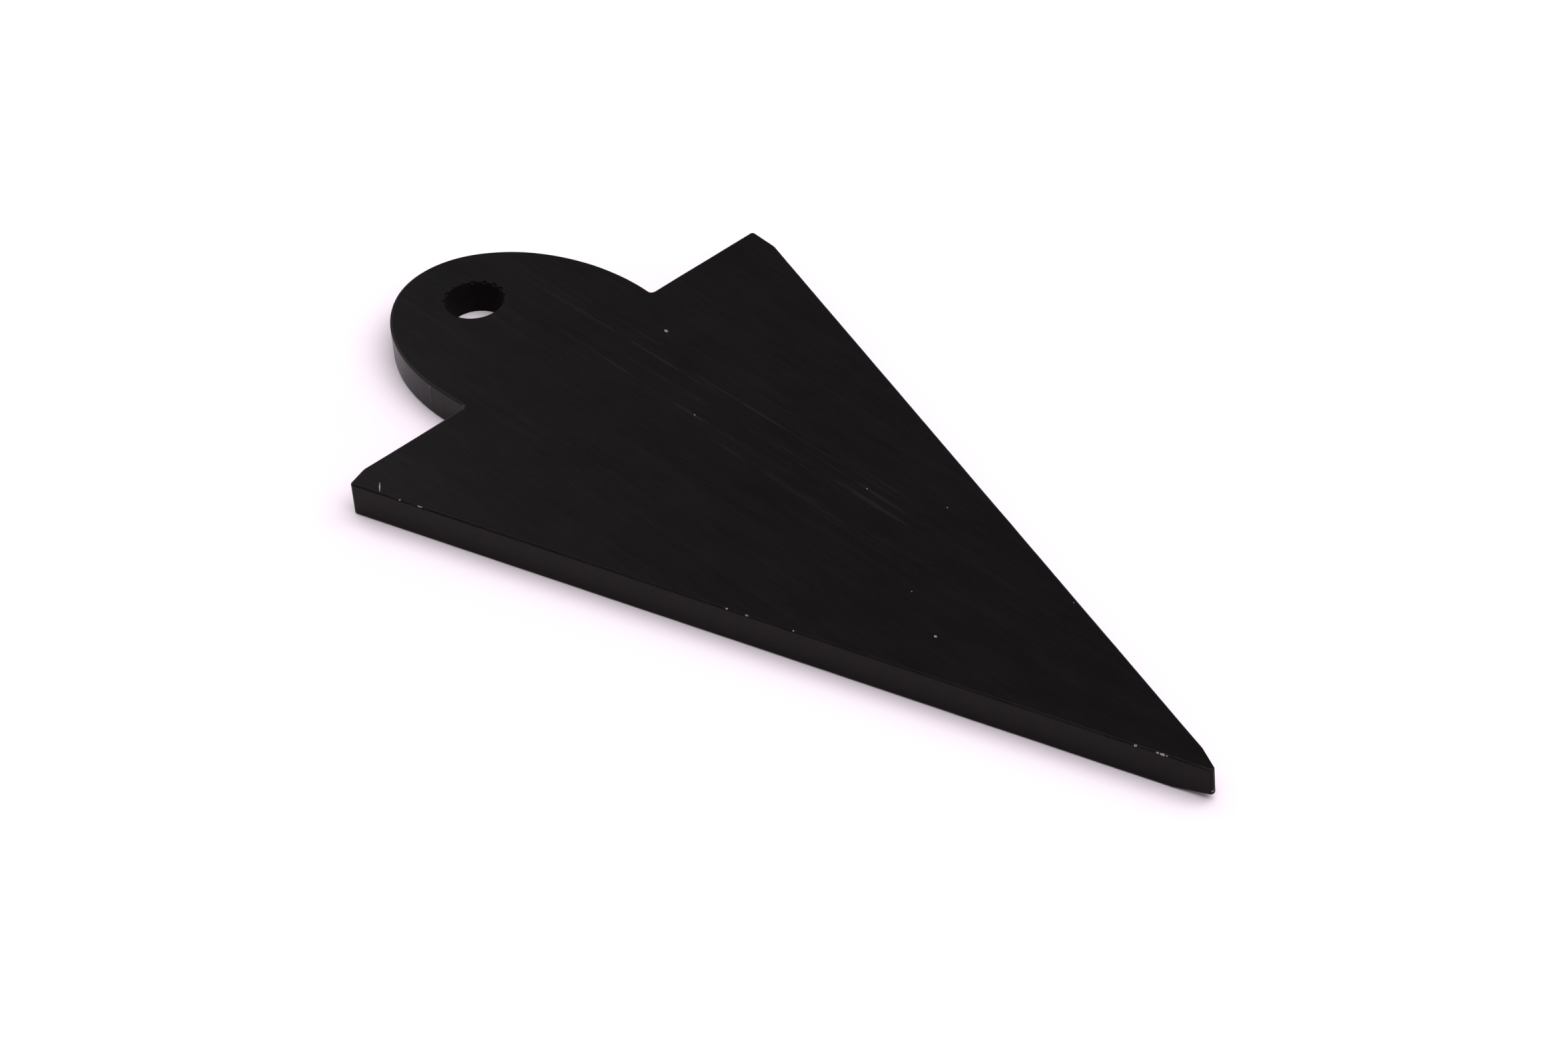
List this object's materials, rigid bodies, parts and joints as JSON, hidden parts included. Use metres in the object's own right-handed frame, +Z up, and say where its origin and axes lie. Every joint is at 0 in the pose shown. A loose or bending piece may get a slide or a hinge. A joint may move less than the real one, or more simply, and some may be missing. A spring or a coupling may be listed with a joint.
{
  "type": "drilled tooth-shaped plate",
  "caption": "Flat black plate shaped like a long pointed tooth, with a rounded tab on its short edge that is drilled through for a ring, cord, pin or screw.",
  "frame": {"origin": "centre of the hole in the tab, on the plate's lower face", "axes": "+X from the hole along the middle of the plate to its point, +Y across the plate, +Z up through its thickness, along the hole"},
  "size_m": [0.0903, 0.0444, 0.003],
  "materials": {
    "black_plate": "satin"
  },
  "bodies": {
    "root": {"tooth_plate": "black_plate"}
  },
  "joints": []
}
